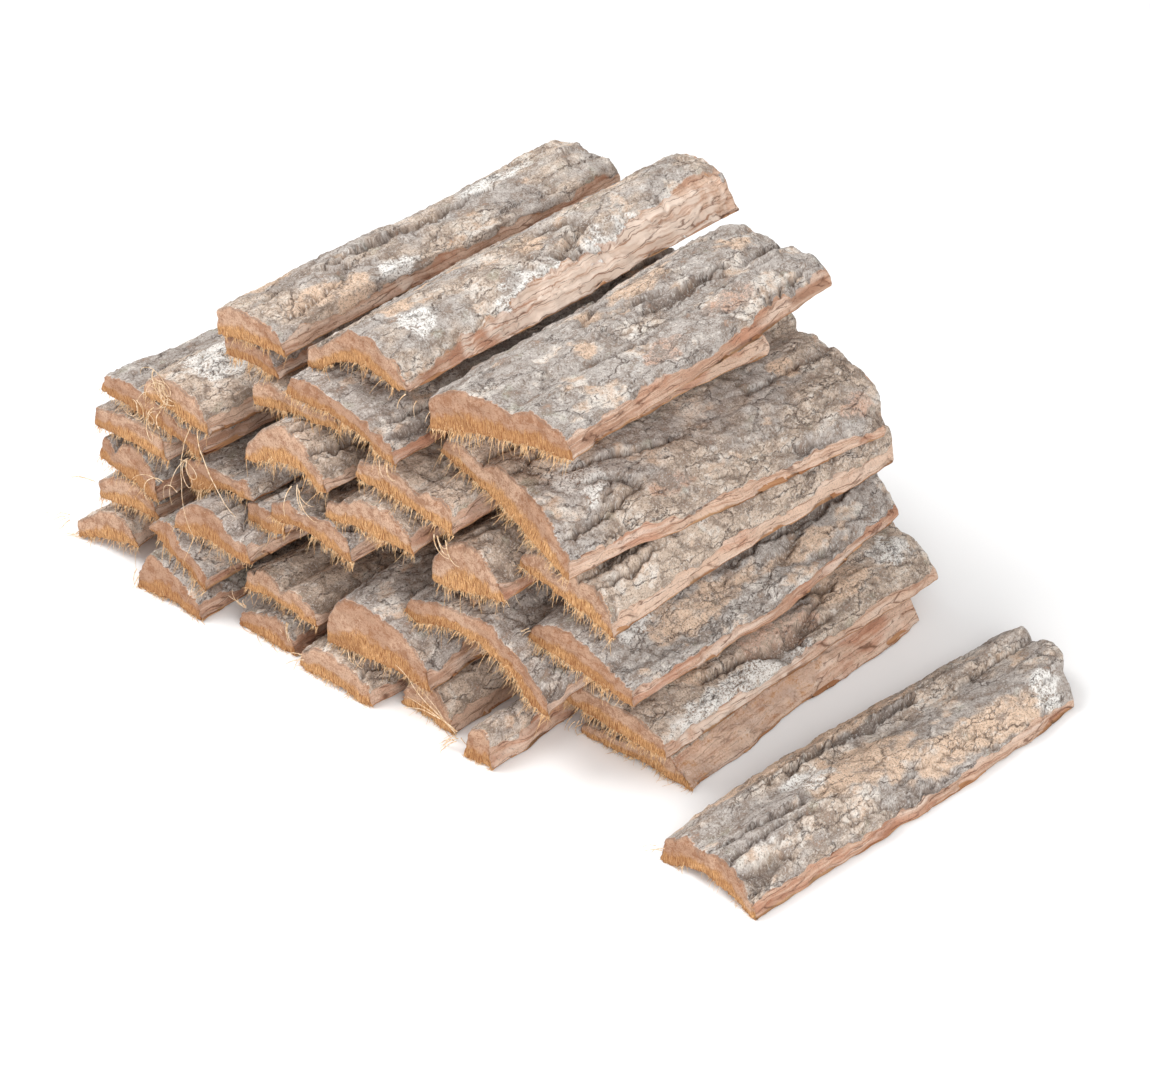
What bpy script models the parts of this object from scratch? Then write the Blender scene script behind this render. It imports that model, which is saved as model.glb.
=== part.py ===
"""A heap of cut tree-bark strips, and one strip lying beside it.

Each strip is a plank of thick bark peeled from a trunk and sawn to length: ridged bark above, a flat or
slightly hollow inner face below, one clean saw cut and one rougher end. The strips only lie on each
other. X runs across the heap, Y along the strips (the saw cuts face -Y) and Z is up. Metres.
"""
import math
from collections import namedtuple

import bmesh
import bpy
from mathutils import Matrix, Vector, noise
from mathutils.bvhtree import BVHTree

MM = 0.001

# How finely a strip is faceted: across its width, and along its length.
ACROSS = 8
ALONG = 6

# Clearance left under a strip that is laid on others, and the thinnest edge a strip may have.
CLEARANCE = 0.4 * MM
THINNEST_EDGE = 3 * MM

# Natural unevenness of a strip, as shares of its width and thickness.
WIDTH_WAVE = 0.07
THICKNESS_WAVE = 0.16
SIDE_WANDER = 2.5 * MM
END_RAKE = 5 * MM
CORNER_LOSS = 3 * MM
GROOVE_REACH = 0.11

# A strip that is laid may shift sideways, roll and pitch in these small steps, up to so many each way,
# where that brings its sawn end closer to its stated height. A step has to gain more than it costs.
STEPS = (1.5 * MM, math.radians(1), math.radians(0.6))
GROUND_STEPS = (3, 0, 0)
UPPER_STEPS = (2, 3, 3)
STEP_COST = 0.25 * MM

# Strips are let down from this height, and touch is looked for at their corners and cuts between them.
FALL_FROM = 0.40
SAMPLE_CUTS = 2

# The slow wander along a strip: its swing, its turns per length, and how far apart strips and uses lie.
WAVE_SWING = 1.6
WAVE_TURNS = 2.3
WAVE_STRIP_SPACING = 7.31
WAVE_USE_SPACING = 5.17
WIDTH_USE, MIDDLE_USE, THICKNESS_USE, SAWN_USE, ROUGH_USE, SHADE_USE = range(1, 7)
SAWN_SHARE = 0.3

# Bark colour of the darkest strip, and how much lighter the lightest is.
DARK_BARK = (0.34, 0.26, 0.20)
LIGHTER = (0.08, 0.07, 0.06)
BARK_ROUGHNESS = 0.9

# One strip. x, near and height place the middle of its sawn end, roll lifts its left-hand edge above its
# right-hand one and yaw turns it about Z. A strip on the floor has height and roll 0.
# crown is the height of the bark above the strip's lower edges at five even places from left to right,
# arch is the rise of the hollow underneath, splay is how far each side slopes in towards the bark, and
# groove is a lengthwise furrow: how far across the width it lies, and how deep it is.
Strip = namedtuple("Strip", "name x near height roll yaw length width arch crown splay groove")


def strip(name, x, near, height, roll, yaw, length, width, arch, crown, splay=(3, 3), groove=(0.5, 0)):
    """A Strip row, from millimetres and degrees."""
    return Strip(
        name, x * MM, near * MM, height * MM, math.radians(roll), math.radians(yaw),
        length * MM, width * MM, arch * MM, [c * MM for c in crown], [s * MM for s in splay],
        (groove[0], groove[1] * MM))


# The strips in the order in which they are laid, course by course, left to right.
GROUND_COURSE = [
    strip("loose_strip", 205, -100, 0, 0, -3, 207, 57, 6, (12, 20, 19, 20, 9), groove=(0.38, 4)),
    strip("ground_strip_1", -98, -110, 0, 0, 2, 188, 46, 2, (11, 22, 18, 14, 10)),
    strip("ground_strip_2", -45, -101, 0, 0, -1, 192, 38, 1, (9, 11, 15, 17, 10)),
    strip("ground_strip_3", 1, -104, 0, 0, -1, 196, 50, 2, (9, 14, 16, 15, 10)),
    strip("ground_strip_4", 47, -94, 0, 0, 0, 186, 35, 1, (9, 15, 17, 17, 10)),
    strip("ground_strip_5", 129, -57, 0, 0, 2, 170, 66, 2, (7, 9, 11, 14, 14), splay=(3, 13)),
    strip("ground_strip_6", 79, -102, 0, 0, 2, 188, 18, 0, (9, 15, 17, 17, 14)),
    strip("ground_strip_7", -151, -100, 6, 14, 3, 180, 42, 1, (9, 13, 18, 17, 11)),
]
UPPER_COURSES = [
    strip("second_strip_1", -134, -100, 30, 6, 2, 184, 42, 1, (9, 14, 16, 14, 11)),
    strip("second_strip_2", -94, -108, 24, -24, 1, 190, 42, 1, (9, 16, 14, 12, 10), groove=(0.5, 3)),
    strip("second_strip_3", -36, -100, 25, 1, 0, 194, 50, 1, (9, 13, 11, 12, 10), groove=(0.5, 4)),
    strip("second_strip_4", 25, -102, 21, 2, 0, 196, 62, 3, (14, 28, 27, 22, 13)),
    strip("second_strip_5", 120, -65, 18, -4, 0, 188, 62, 1, (9, 15, 16, 16, 10)),
    strip("second_strip_6", 68, -92, 39, -12, 2, 190, 82, 12, (9, 19, 26, 20, 10)),
    strip("third_strip_1", -132, -100, 46, -12, -1, 186, 42, 1, (13, 15, 20, 20, 13), groove=(0.25, 5)),
    strip("third_strip_2", -70, -108, 43, 2, 1, 192, 54, 1, (9, 17, 19, 12, 10)),
    strip("third_strip_3", -49, -98, 35, 5, 0, 176, 26, 0, (9, 11, 12, 11, 10)),
    strip("third_strip_4", -11, -104, 62, 1, -1, 194, 52, 3, (9, 16, 14, 16, 12), groove=(0.38, 4)),
    strip("third_strip_5", 119, -82, 50, -7, 1, 184, 60, 1, (9, 19, 19, 14, 10)),
    strip("third_strip_6", 71, -95, 77, 10, 1, 188, 42, 0, (10, 19, 23, 22, 12)),
    strip("fourth_strip_1", -127, -102, 68, 0, 1, 184, 46, 1, (9, 11, 13, 12, 10)),
    strip("fourth_strip_2", -68, -100, 58, 12, 0, 190, 46, 2, (15, 14, 11, 8, 10)),
    strip("fourth_strip_3", 22, -102, 85, 7, 0, 192, 55, 1, (9, 13, 16, 16, 10)),
    strip("fourth_strip_4", 111, -85, 85, -10, 0, 184, 57, 1, (9, 18, 18, 20, 10), groove=(0.38, 6)),
    strip("fifth_strip_1", -111, -104, 86, -7, 1, 188, 64, 1, (9, 14, 14, 10, 10)),
    strip("fifth_strip_2", -25, -106, 97, 7, -1, 194, 55, 6, (9, 20, 27, 22, 10)),
    strip("fifth_strip_3", 42, -100, 108, -4, 1, 190, 60, 1, (9, 14, 14, 14, 13), groove=(0.62, 4)),
    strip("fifth_strip_4", 87, -89, 118, -15, -6, 186, 82, 1, (9, 17, 19, 19, 10), groove=(0.25, 6)),
    strip("sixth_strip_1", -92, -106, 99, -6, 1, 190, 44, 1, (9, 16, 18, 16, 13)),
    strip("sixth_strip_2", -18, -98, 120, 9, 0, 188, 55, 1, (11, 14, 11, 9, 10)),
    strip("sixth_strip_3", 13, -106, 134, -9, 0, 192, 64, 3, (10, 14, 12, 11, 10)),
    strip("sixth_strip_5", 77, -64, 140, -5, -3, 124, 44, 1, (9, 12, 13, 12, 10)),
    strip("sixth_strip_4", 98, -100, 158, 11, 3, 184, 74, 3, (13, 20, 19, 17, 10), groove=(0.62, 4)),
    strip("seventh_strip_1", -48, -98, 136, 4, -1, 190, 40, 1, (11, 12, 12, 12, 10)),
    strip("seventh_strip_2", 23, -100, 150, 12, 0, 203, 66, 7, (9, 15, 22, 21, 13), splay=(3, 6)),
    strip("top_strip", -43, -100, 148, 11, -2, 202, 46, 1, (12, 16, 16, 13, 10)),
]


def smooth_between(values, share):
    """The value at a share (0 to 1) of the way along evenly spaced values, eased between neighbours."""
    place = share * (len(values) - 1)
    first = min(int(place), len(values) - 2)
    step = place - first
    ease = step * step * (3 - 2 * step)
    return values[first] + (values[first + 1] - values[first]) * (0.5 * step + 0.5 * ease)


def wave(seed, along, use):
    """A slow, smooth wander between about -1 and 1 along a strip, the same on every run."""
    place = along * WAVE_TURNS + seed * WAVE_STRIP_SPACING
    return WAVE_SWING * noise.noise(Vector((place, use * WAVE_USE_SPACING, seed * WAVE_USE_SPACING / 2)))


def shape_point(design, seed, across, along, above):
    """Where a point of the unit block goes: across, along and above run from 0 to 1."""
    width = design.width * (1 + WIDTH_WAVE * wave(seed, along, WIDTH_USE))
    middle = SIDE_WANDER * wave(seed, along, MIDDLE_USE)
    thickness = 1 + THICKNESS_WAVE * wave(seed, along, THICKNESS_USE)
    from_middle = 2 * across - 1

    # The underside is flat for one facet inside each edge, so that a strip has two narrow feet.
    foot = 1 / ACROSS
    inner = max(0.0, 1 - (from_middle / (1 - 2 * foot)) ** 2)
    hollow = design.arch * inner

    furrow = max(0.0, 1 - abs(across - design.groove[0]) / GROOVE_REACH) * design.groove[1]
    bark = smooth_between(design.crown, across) * thickness - furrow
    bark = max(bark, hollow + THINNEST_EDGE)

    slope = design.splay[0] * (1 - across) ** 4 - design.splay[1] * across ** 4
    x = middle + from_middle * width / 2 + slope * above
    z = hollow + (bark - hollow) * above

    # The sawn end is only slightly raked. The far end is raked more, and has lost its corners.
    sawn = END_RAKE * SAWN_SHARE * wave(seed, across, SAWN_USE)
    rough = END_RAKE * wave(seed, across, ROUGH_USE) - CORNER_LOSS * from_middle ** 4
    y = along * design.length + sawn * (1 - along) + rough * along
    return Vector((x, y, z))


def block_mesh(design, seed):
    """A unit block cut into facets across and along, and bent to the strip's shape."""
    bm = bmesh.new()
    bmesh.ops.create_cube(bm, size=1.0, matrix=Matrix.Translation((0.5, 0.5, 0.5)))
    for axis, parts in ((0, ACROSS), (1, ALONG)):
        edges = [e for e in bm.edges if abs((e.verts[0].co - e.verts[1].co)[axis]) > 0.5]
        bmesh.ops.subdivide_edges(bm, edges=edges, cuts=parts - 1, use_grid_fill=True)
    for vert in bm.verts:
        vert.co = shape_point(design, seed, *vert.co)
    bmesh.ops.triangulate(bm, faces=bm.faces[:])
    bmesh.ops.recalc_face_normals(bm, faces=bm.faces[:])
    mesh = bpy.data.meshes.new(design.name)
    bm.to_mesh(mesh)
    bm.free()
    return mesh


def sample_points(mesh):
    """Points spread over a mesh: its own and those that halve its facets."""
    bm = bmesh.new()
    bm.from_mesh(mesh)
    bmesh.ops.subdivide_edges(bm, edges=bm.edges[:], cuts=SAMPLE_CUTS, use_grid_fill=True)
    points = [v.co.copy() for v in bm.verts]
    bm.free()
    return points


def placement(design, steps, height):
    """The strip's world matrix with the middle of its sawn end over (x, near), moved by some steps."""
    shift, roll, pitch = (count * size for count, size in zip(steps, STEPS))
    turn = (Matrix.Rotation(design.yaw, 4, "Z") @ Matrix.Rotation(pitch, 4, "X")
            @ Matrix.Rotation(-design.roll - roll, 4, "Y"))
    return Matrix.Translation((design.x + shift, design.near, height)) @ turn


class Laid:
    """A strip that has been laid: its surface for ray casts, its sample points and its extent."""

    def __init__(self, mesh, points, world):
        self.points = [world @ p for p in points]
        corners = [world @ v.co for v in mesh.vertices]
        facets = [tuple(p.vertices) for p in mesh.polygons]
        self.tree = BVHTree.FromPolygons(corners, facets)
        self.low = [min(p[i] for p in self.points) for i in range(3)]
        self.high = [max(p[i] for p in self.points) for i in range(3)]

    def over(self, other):
        """Whether the two strips share any ground seen from above."""
        return all(self.low[i] < other.high[i] and other.low[i] < self.high[i] for i in (0, 1))


def fall(new, laid):
    """How far a strip held high can come down before it meets the floor or the clearance over a strip."""
    down, up = Vector((0, 0, -1)), Vector((0, 0, 1))
    room = new.low[2]
    for other in laid:
        if not new.over(other):
            continue
        for point in new.points:
            hit = other.tree.ray_cast(point, down)
            if hit[0] is not None:
                room = min(room, hit[3] - CLEARANCE)
        for point in other.points:
            hit = new.tree.ray_cast(point, up)
            if hit[0] is not None:
                room = min(room, hit[3] - CLEARANCE)
    return room


def let_down(design, mesh, points, laid, steps):
    """What resting after these steps costs, as its miss of the stated height, and the world matrix."""
    world = placement(design, steps, FALL_FROM)
    room = fall(Laid(mesh, points, world), laid)
    world = Matrix.Translation((0, 0, -room)) @ world
    miss = abs(world.to_translation().z - design.height)
    return miss + STEP_COST * sum(abs(count) for count in steps), world


def lay(design, mesh, laid, most_steps):
    """Rest a strip on the ones already laid, moved step by step while that costs less."""
    points = sample_points(mesh)
    steps = (0, 0, 0)
    cost, world = let_down(design, mesh, points, laid, steps)
    moving = True
    while moving:
        moving = False
        for kind in range(3):
            for way in (-1, 1):
                tried = tuple(count + way * (kind == i) for i, count in enumerate(steps))
                if abs(tried[kind]) > most_steps[kind]:
                    continue
                new_cost, new_world = let_down(design, mesh, points, laid, tried)
                if new_cost < cost:
                    cost, world, steps, moving = new_cost, new_world, tried, True
    laid.append(Laid(mesh, points, world))
    return world


def bark_material(name, seed):
    """Grey-brown bark, a little lighter or darker from strip to strip."""
    shade = 0.5 + 0.5 * wave(seed, 0.0, SHADE_USE)
    colour = [dark + shade * lighter for dark, lighter in zip(DARK_BARK, LIGHTER)]
    material = bpy.data.materials.new(name)
    material.use_nodes = True
    shader = material.node_tree.nodes["Principled BSDF"]
    shader.inputs["Base Color"].default_value = (*colour, 1)
    shader.inputs["Roughness"].default_value = BARK_ROUGHNESS
    shader.inputs["Metallic"].default_value = 0.0
    return material


def build():
    for old in list(bpy.data.objects):
        bpy.data.objects.remove(old, do_unlink=True)
    heap = bpy.data.collections.new("bark_strips")
    bpy.context.scene.collection.children.link(heap)
    laid = []
    for seed, design in enumerate(GROUND_COURSE + UPPER_COURSES, start=1):
        mesh = block_mesh(design, seed)
        world = lay(design, mesh, laid, UPPER_STEPS if design in UPPER_COURSES else GROUND_STEPS)
        mesh.materials.append(bark_material(design.name, seed))
        piece = bpy.data.objects.new(design.name, mesh)
        heap.objects.link(piece)
        piece.location = world.to_translation()
        piece.rotation_euler = world.to_euler()

    # The heap's middle is brought over the origin.
    low = Vector([min(strip_laid.low[i] for strip_laid in laid) for i in (0, 1)] + [0])
    high = Vector([max(strip_laid.high[i] for strip_laid in laid) for i in (0, 1)] + [0])
    for piece in heap.objects:
        piece.location -= (low + high) / 2


build()
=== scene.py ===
# %% [markdown]
# # A heap of sawn bark strips
# Thick bark, peeled from a trunk and sawn into strips, lies in a loose heap with one strip beside it. The
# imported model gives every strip's place and main shape. This lesson gives each strip its real surface: the
# furrows, plates and flakes of the bark, the torn sides, the frayed saw cuts, and the stray fibres.

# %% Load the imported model
import math

import bmesh
import bpy
import numpy as np
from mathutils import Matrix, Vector
from mathutils.bvhtree import BVHTree


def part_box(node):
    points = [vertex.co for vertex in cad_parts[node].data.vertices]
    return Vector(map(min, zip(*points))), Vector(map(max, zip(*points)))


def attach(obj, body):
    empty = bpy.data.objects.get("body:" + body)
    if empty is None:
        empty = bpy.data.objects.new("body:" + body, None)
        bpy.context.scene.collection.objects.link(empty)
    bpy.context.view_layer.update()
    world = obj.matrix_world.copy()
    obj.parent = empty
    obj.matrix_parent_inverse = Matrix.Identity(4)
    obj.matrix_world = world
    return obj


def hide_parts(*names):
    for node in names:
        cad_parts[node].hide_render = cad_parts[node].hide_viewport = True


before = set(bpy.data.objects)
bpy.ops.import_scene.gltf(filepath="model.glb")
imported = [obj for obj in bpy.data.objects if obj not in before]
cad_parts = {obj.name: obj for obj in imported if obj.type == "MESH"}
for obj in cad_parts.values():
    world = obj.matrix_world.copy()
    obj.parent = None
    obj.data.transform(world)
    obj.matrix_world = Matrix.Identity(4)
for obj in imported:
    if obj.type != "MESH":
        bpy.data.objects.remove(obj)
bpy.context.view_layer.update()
MM = 0.001
STRIPS = sorted(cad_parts)

# %% [markdown]
# ## The camera
# A small picture of a small object is taken from well back with a long lens, so that the near strips aren't
# swollen. The camera looks down on the heap from the side of the saw cuts.

# %% Place the camera
AIM = Vector((0.0007, 0.0049, 0.0371))
AZIMUTH = math.radians(42.5)
ELEVATION = math.radians(33)
DISTANCE = 1.3665
back = Vector((math.sin(AZIMUTH) * math.cos(ELEVATION), -math.cos(AZIMUTH) * math.cos(ELEVATION),
               math.sin(ELEVATION)))
lens = bpy.data.cameras.new("camera")
lens.lens = 97.98
lens.sensor_width = 36
camera = bpy.data.objects.new("camera", lens)
camera.location = AIM + DISTANCE * back
camera.rotation_euler = (math.pi / 2 - ELEVATION, 0, AZIMUTH)
bpy.context.scene.collection.objects.link(camera)
bpy.context.scene.camera = camera
print("camera", round(DISTANCE, 2), "m away")

# %% [markdown]
# ## Patterns for carving
# Bark has no two places alike, yet it follows rules: long winding furrows, plates between them, flakes on the
# plates. Two patterns make all of it. The first is a smooth wander between hills and hollows, the second the
# borders between scattered cells. They are worked out for all of a strip's points at once, in a strip's own
# axes, so that a pattern can be stretched along the grain.

# %% A smooth wander, and the borders between cells
GRADIENT_COUNT = 256
SLOPE_SEED, JITTER_SEED, LEVEL_SEED = 5, 6, 7
WANDER_SWING = 1.7
gradients = np.random.default_rng(SLOPE_SEED).normal(size=(GRADIENT_COUNT, 3))
gradients /= np.linalg.norm(gradients, axis=1, keepdims=True)
jitter = np.random.default_rng(JITTER_SEED).random((GRADIENT_COUNT, 2))
levels = np.random.default_rng(LEVEL_SEED).uniform(-1, 1, GRADIENT_COUNT)


def pick(cell, seed):
    """An entry number for each whole-numbered cell, the same on every run."""
    mixed = (cell[:, 0] * 73856093) ^ (cell[:, 1] * 19349663) ^ (seed * 83492791 + 12345)
    if cell.shape[1] > 2:
        mixed ^= cell[:, 2] * 49979687
    mixed = (mixed ^ (mixed >> 13)) * 1274126177 & 0xFFFFFFFF
    return (mixed ^ (mixed >> 16)) % GRADIENT_COUNT


def wander(points, sizes, seed):
    """Smooth hills and hollows from about -1 to 1, with hills of these sizes along the three axes."""
    place = points / np.array(sizes, dtype=float)
    cell = np.floor(place).astype(np.int64)
    part = place - cell
    ease = part ** 3 * (part * (part * 6 - 15) + 10)
    total = np.zeros(len(points))
    for corner in np.ndindex(2, 2, 2):
        slope = gradients[pick(cell + corner, seed)]
        share = np.prod(np.where(corner, ease, 1 - ease), axis=1)
        total += share * ((part - corner) * slope).sum(axis=1)
    return WANDER_SWING * total


def plates(points, sizes, seed):
    """How far each point is from the border between plates, in plate widths, and its plate's level."""
    place = points[:, :2] / np.array(sizes, dtype=float)
    cell = np.floor(place).astype(np.int64)
    nearest = np.full(len(points), 9.0)
    second = nearest.copy()
    level = np.zeros(len(points))
    for step in np.ndindex(3, 3):
        other = cell + np.array(step) - 1
        entry = pick(other, seed)
        gap = np.linalg.norm(other + jitter[entry] - place, axis=1)
        level = np.where(gap < nearest, levels[entry], level)
        second = np.minimum(second, np.maximum(gap, nearest))
        nearest = np.minimum(nearest, gap)
    return second - nearest, level


def rise(low, high, values):
    """0 below low, 1 above high and a smooth rise between."""
    share = np.clip((values - low) / (high - low), 0, 1)
    return share * share * (3 - 2 * share)


line_of_points = np.linspace((0, 0, 0), (200, 0, 0), 400)
print("a wander with 17 mm hills runs from", round(wander(line_of_points, (17, 1, 1), 0).min(), 2), "to",
      round(wander(line_of_points, (17, 1, 1), 0).max(), 2))

# %% [markdown]
# ## A strip's own axes
# A packed strip is a few hundred loose triangles, turned as it lies in the heap. Its triangles are merged,
# and its long axis and its bark side give three axes of its own: across, along from the saw cut, and up to
# the bark. All carving is done in these axes, in millimetres.

# %% Find a strip's axes and its bark and inner faces
# A face is bark where its upward share is above this, which is stricter on a strip with sloping bare sides.
BARK_FACING = 0.5
FLAT_FACING = {"ground_strip_5": 0.8}
MERGE_WITHIN = 0.01 * MM


class Grown:
    """One strip while it is being shaped, in its own axes and in millimetres."""


def own_axes(name):
    """The strip's merged mesh in its own axes, and what turns it back."""
    bm = bmesh.new()
    bm.from_mesh(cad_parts[name].data)
    bmesh.ops.remove_doubles(bm, verts=bm.verts, dist=MERGE_WITHIN)
    corners = np.array([v.co for v in bm.verts])
    middle = corners.mean(axis=0)
    long_axis = np.linalg.svd(corners - middle, full_matrices=False)[2][0]
    long_axis *= np.sign(long_axis[1])
    up = np.zeros(3)
    for face in bm.faces:
        if face.normal.z > BARK_FACING:
            up += np.array(face.normal) * face.calc_area()
    up -= long_axis * (up @ long_axis)
    up /= np.linalg.norm(up)
    axes = np.stack([np.cross(long_axis, up), long_axis, up])
    start = middle + long_axis * ((corners - middle) @ long_axis).min()
    for vert in bm.verts:
        vert.co = axes @ (np.array(vert.co) - start) / MM
    bm.normal_update()
    return bm, axes, start


loose_block, loose_axes, _ = own_axes("loose_strip")
print("the loose strip has", len(loose_block.faces), "faces and runs along", np.round(loose_axes[1], 2))
loose_block.free()

# %% [markdown]
# ## A fine skin
# Carving needs many small, even facets. Subdividing the block would leave them long and thin, so a voxel
# remesh lays them over it instead, which works on any closed shape. Each point then learns how far it lies
# below the bark and above the inner face, which later tells the saw cut where the fibres begin.

# %% Lay a fine skin over a strip
FACET = 1.1


def fine_skin(bm, name):
    """A mesh of even quads over the block."""
    coarse = bpy.data.meshes.new(name)
    bm.to_mesh(coarse)
    holder = bpy.data.objects.new(name, coarse)
    bpy.context.scene.collection.objects.link(holder)
    remesh = holder.modifiers.new("skin", "REMESH")
    remesh.mode = "VOXEL"
    remesh.voxel_size = FACET
    bpy.context.view_layer.update()
    skin = bpy.data.meshes.new_from_object(holder.evaluated_get(bpy.context.evaluated_depsgraph_get()))
    bpy.data.objects.remove(holder)
    bpy.data.meshes.remove(coarse)
    return skin


def distance_to(bm, wanted, points):
    """How far each point is from those faces of the block for which wanted(normal) holds."""
    corners = [v.co.copy() for v in bm.verts]
    tree = BVHTree.FromPolygons(corners, [[v.index for v in f.verts] for f in bm.faces if wanted(f.normal)])
    return np.array([tree.find_nearest(point)[3] for point in points])


def skin_strip(name, seed):
    """A Grown strip: its skin, points and normals, and where each lies between bark and inner face."""
    bm, axes, start = own_axes(name)
    strip = Grown()
    strip.name, strip.seed, strip.axes, strip.start = name, seed, axes, start
    strip.low = name.startswith(("ground", "second", "third", "loose"))
    strip.mesh = fine_skin(bm, name)
    read = {}
    for field in ("co", "normal"):
        read[field] = np.empty(len(strip.mesh.vertices) * 3)
        strip.mesh.vertices.foreach_get(field, read[field])
    strip.points, strip.normals = read["co"].reshape(-1, 3), read["normal"].reshape(-1, 3)
    bm.verts.index_update()
    facing = FLAT_FACING.get(name, BARK_FACING)
    places = [Vector(p) for p in strip.points]
    strip.below_bark = distance_to(bm, lambda n: n.z > facing, places)
    above_inner = distance_to(bm, lambda n: n.z < -BARK_FACING, places)
    strip.thick = strip.below_bark + above_inner
    strip.above = above_inner / strip.thick
    strip.length = strip.points[:, 1].max()
    bm.free()
    return strip


print("facets of", FACET, "mm")

# %% [markdown]
# ## The four kinds of surface
# A strip shows bark on top, a saw cut at the near end, torn inner bark on its sides and far end, and a
# fibrous inner face below. Which way a point faces says which it is. The borders could be drawn by hand on
# each strip, but a rule serves all of them. It changes over a few facets and follows a wander, so that the
# edges crumble.

# %% Sort the points by the way they face
# Bark hangs over the sides down to about this share of the thickness, and less where a side was torn clean.
BARK_HANGS = 0.62
HANGS_LESS = {"seventh_strip_2": 1.2, "ground_strip_5": 0.95, "sixth_strip_4": 0.72, "loose_strip": 0.7,
              "fifth_strip_4": 0.7, "sixth_strip_5": 0.9, "fourth_strip_4": 0.8}
# On one strip the bark came off the right side too: how far right of the middle, at its near and far ends.
BARE_RIGHT = {"seventh_strip_2": (31, 18)}
# From which share of facing along the strip a point begins to count as an end, and where it fully does. The
# same for facing down and the inner face.
END_FACING = (0.55, 0.8)
INNER_FACING = (0.35, 0.6)


def sort_points(strip):
    """How much of each kind of surface every point of the strip is."""
    across, along, up = strip.normals.T
    facing = FLAT_FACING.get(strip.name, BARK_FACING)
    strip.cut = rise(*END_FACING, -along)
    strip.far = rise(*END_FACING, along)
    strip.bark = rise(facing - 0.12, facing + 0.08, up) * (1 - strip.cut) * (1 - strip.far)
    strip.inner = rise(*INNER_FACING, -up) * (1 - strip.cut) * (1 - strip.far)
    if strip.name in BARE_RIGHT:
        limit = np.interp(strip.points[:, 1], (0, strip.length), BARE_RIGHT[strip.name])
        limit += 2.5 * wander(strip.points * (0, 1, 0), (1, 24, 1), strip.seed)
        limit += 1.2 * wander(strip.points * (1, 1, 0), (3, 5, 1), strip.seed)
        strip.bark *= 1 - rise(limit - 1, limit + 1, strip.points[:, 0])
    strip.side = np.clip(1 - strip.cut - strip.far - strip.bark - strip.inner, 0, 1)
    hangs = HANGS_LESS.get(strip.name, BARK_HANGS)
    edge = 0.35 * wander(strip.points, (14, 26, 40), strip.seed)
    edge += 0.16 * wander(strip.points, (4, 6, 6), strip.seed)
    skirt = (strip.side + strip.far) * rise(hangs, hangs + 0.08, strip.above + edge)
    strip.bark = np.clip(strip.bark + skirt, 0, 1)
    strip.side = strip.side * (1 - skirt)


print("bark hangs down a side to", BARK_HANGS, "of the thickness, and less on", len(HANGS_LESS), "strips")

# %% [markdown]
# ## Marks
# Some strips have marks that a pattern wouldn't put where they are: a white crust, a tan patch where a flake
# came off, a redder patch of bared inner bark, or one dark furrow, carved deeper and darkened with painted
# shade. Each is a stretched spot with a wandering edge, listed by its place on its own strip, so it stays
# there if the strip moves in the heap.

# %% Marks of single strips
# Each mark is its kind, its place across and along the strip, and half its width and length in millimetres.
SPOTS = {
    "seventh_strip_2": [("pale", 15, 25, 7, 8), ("tan", 0, 26, 9, 9), ("tan", -12, 62, 5, 12),
                        ("tan", 6, 95, 6, 10), ("tan", -6, 150, 7, 16), ("dark", -21, 120, 2.0, 46),
                        ("pale", 31, 116, 12, 80)],
    "top_strip": [("dark", -2, 92, 2.4, 58), ("tan", 14, 38, 7, 22), ("pale", 16, 72, 5, 12),
                  ("tan", -15, 26, 5, 16), ("pale", -8, 150, 7, 20)],
    "sixth_strip_4": [("tan", -4, 162, 8, 8), ("tan", -15, 77, 7, 6), ("tan", 2, 57, 6, 6),
                      ("red", 26, 74, 5, 12), ("tan", -16, 110, 8, 20), ("red", 24, 120, 5, 16),
                      ("dark", 4, 118, 2.2, 32)],
    "fifth_strip_4": [("tan", -24, 52, 9, 34), ("tan", -6, 31, 9, 7), ("tan", 2, 150, 6, 7),
                      ("red", 30, 62, 5, 12), ("pale", 14, 26, 10, 12), ("red", 30, 168, 6, 12)],
    "fourth_strip_4": [("pale", -8, 24, 11, 17), ("dark", 6, 34, 2.4, 26), ("tan", 12, 92, 5, 30),
                       ("pale", 10, 66, 6, 8), ("dark", -12, 104, 2.6, 50)],
    "third_strip_5": [("dark", 2, 66, 2.6, 50), ("tan", 15, 60, 7, 34), ("pale", 4, 26, 8, 12),
                      ("dark", 8, 140, 2.4, 30), ("tan", 20, 120, 6, 22)],
    "second_strip_5": [("pale", 27, 52, 5, 46), ("red", 17, 88, 11, 24), ("tan", 15, 132, 9, 20),
                       ("pale", 14, 168, 9, 12), ("tan", 12, 40, 5, 10)],
    "ground_strip_5": [("red", 0, 90, 14, 30), ("tan", -6, 140, 9, 20)],
    "loose_strip": [("tan", -22, 84, 6, 70), ("tan", 20, 140, 7, 44), ("pale", -4, 62, 7, 12),
                    ("dark", -14, 96, 2.6, 44), ("tan", 4, 86, 12, 34), ("pale", 20, 186, 6, 10)],
    "fifth_strip_2": [("pale", 0, 20, 8, 12)], "sixth_strip_1": [("pale", 0, 26, 14, 16)],
    "fourth_strip_3": [("tan", 0, 22, 12, 12)], "third_strip_4": [("pale", 4, 20, 8, 10)],
}
SPOT_KINDS = ("pale", "tan", "red", "dark")


def mark_spots(strip, bent, p, seed):
    """How strongly each kind of mark shows at every point."""
    strip.spots = {kind: np.zeros(len(p)) for kind in SPOT_KINDS}
    for kind, across, along, half_wide, half_long in SPOTS.get(strip.name, ()):
        away = (bent[:, :2] - (across, along)) / (half_wide, half_long)
        reach = np.linalg.norm(away, axis=1) + 0.35 * wander(p, (5, 7, 1), seed + 14)
        strip.spots[kind] = np.maximum(strip.spots[kind], 1 - rise(0.8, 1.05, reach))


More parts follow.
